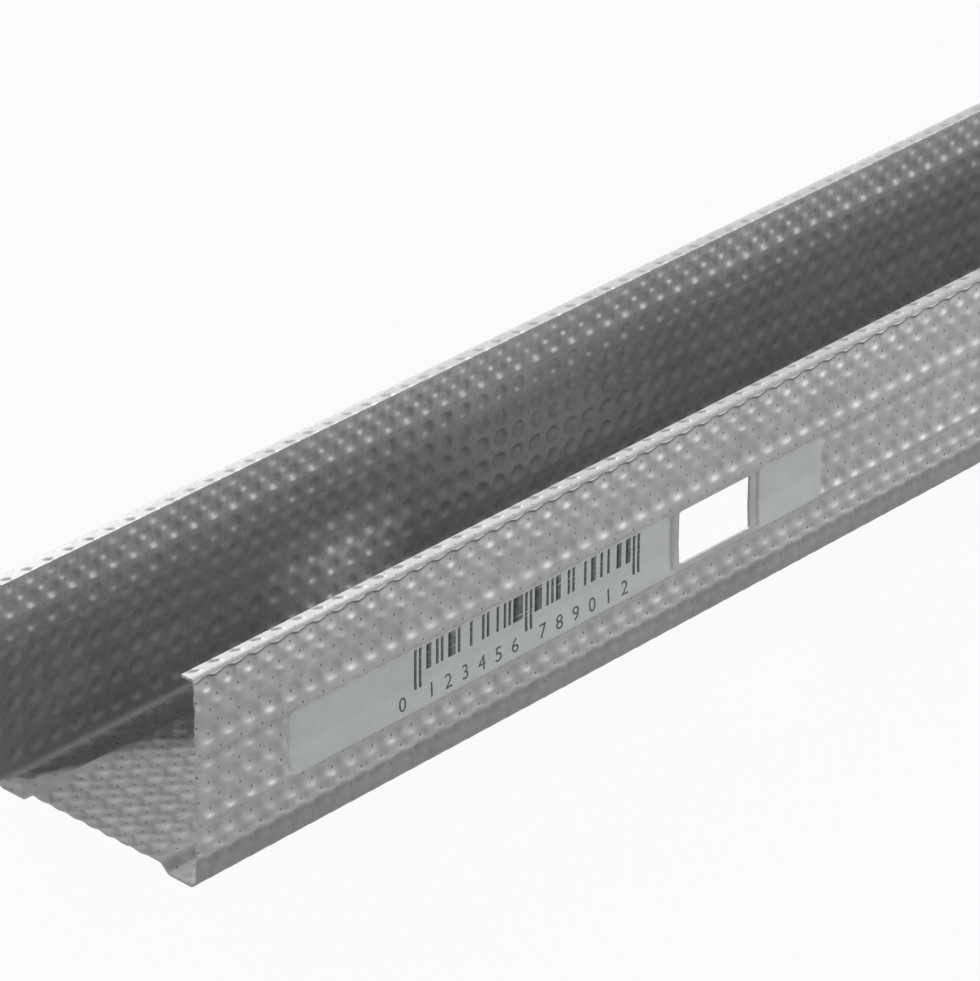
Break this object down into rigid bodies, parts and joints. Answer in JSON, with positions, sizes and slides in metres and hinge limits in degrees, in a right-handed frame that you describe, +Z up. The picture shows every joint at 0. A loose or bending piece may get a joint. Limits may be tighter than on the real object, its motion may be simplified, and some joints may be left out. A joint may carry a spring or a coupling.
{
  "type": "drywall metal stud",
  "caption": "C-section galvanised steel partition stud with inturned lips, creased flanges, a raised web, a flange window and a web service opening.",
  "frame": {"origin": "middle of the stud's length and width, on the plane that the two feet of the web rest on", "axes": "+X along the stud's length, with the punched end at -X; +Y across the web, with the punched flange at -Y; +Z up, out of the open side"},
  "size_m": [2.6, 0.06, 0.0483],
  "materials": {
    "galvanised_steel": "hot-dip galvanised steel strip, roll-embossed with small dimples, satin grey"
  },
  "bodies": {
    "root": {"stud": "galvanised_steel"}
  },
  "joints": []
}
